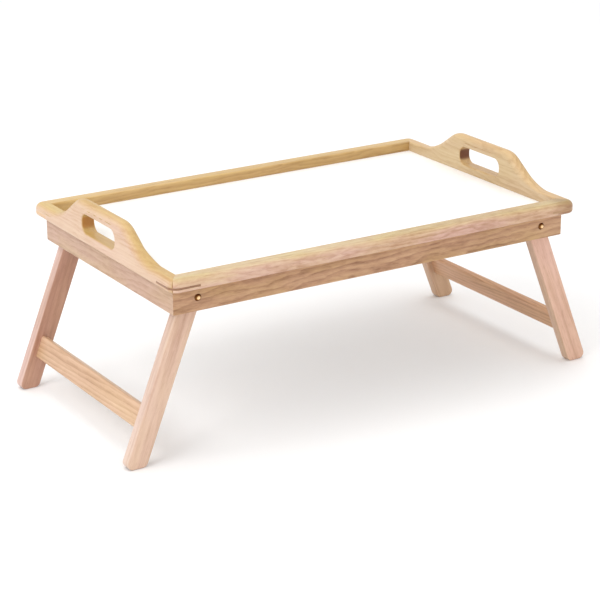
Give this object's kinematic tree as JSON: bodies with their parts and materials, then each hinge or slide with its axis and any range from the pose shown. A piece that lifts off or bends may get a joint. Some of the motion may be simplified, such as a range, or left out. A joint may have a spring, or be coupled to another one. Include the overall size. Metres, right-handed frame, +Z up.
{
  "type": "folding tray table",
  "caption": "Wooden bed tray with a raised rim, handled ends and a white panel, on two pairs of splayed legs that swing up flat inside its apron.",
  "frame": {"origin": "on the floor under the middle of the tray, with the legs open", "axes": "+X along the tray towards its right handle, -Y towards the front, +Z up"},
  "size_m": [0.7242, 0.393, 0.2874],
  "materials": {
    "rail_wood": "clear satin lacquer on pale straw-coloured hardwood",
    "apron_wood": "clear satin lacquer on pinkish tan hardwood",
    "leg_wood": "clear satin lacquer on light pinkish hardwood",
    "dark_key_wood": "clear satin lacquer on dark brown wood",
    "white_panel": "smooth white laminate face, slightly glossy",
    "brass_fitting": "brass plated, softly polished",
    "steel_pin": "plain bright steel"
  },
  "bodies": {
    "tray": {"rim_front": "rail_wood", "rim_back": "rail_wood", "rim_left": "rail_wood", "rim_right": "rail_wood", "spline_front_left": "dark_key_wood", "spline_front_right": "rail_wood", "spline_back_left": "rail_wood", "spline_back_right": "rail_wood", "tray_panel": "white_panel", "apron_front": "apron_wood", "apron_back": "apron_wood", "apron_left": "apron_wood", "apron_right": "apron_wood", "rim_pins": "steel_pin", "pivot_bolt_front_left": "brass_fitting", "pivot_bolt_back_left": "brass_fitting", "pivot_bolt_front_right": "brass_fitting", "pivot_bolt_back_right": "brass_fitting", "pivot_washers": "brass_fitting", "pivot_nuts": "brass_fitting"},
    "left_legs": {"leg_front_left": "leg_wood", "leg_back_left": "leg_wood", "stretcher_left": "rail_wood", "stretcher_dowels_left": "leg_wood"},
    "right_legs": {"leg_front_right": "leg_wood", "leg_back_right": "leg_wood", "stretcher_right": "rail_wood", "stretcher_dowels_right": "leg_wood"}
  },
  "joints": [
    {"name": "left_legs_fold", "type": "hinge", "parent": "tray", "child": "left_legs", "pos_m": [-0.2656, 0, 0.21524], "axis": [0, -1, 0], "range_deg": [0, 111.6]},
    {"name": "right_legs_fold", "type": "hinge", "parent": "tray", "child": "right_legs", "pos_m": [0.2656, 0, 0.21524], "axis": [0, 1, 0], "range_deg": [0, 111.6]}
  ]
}
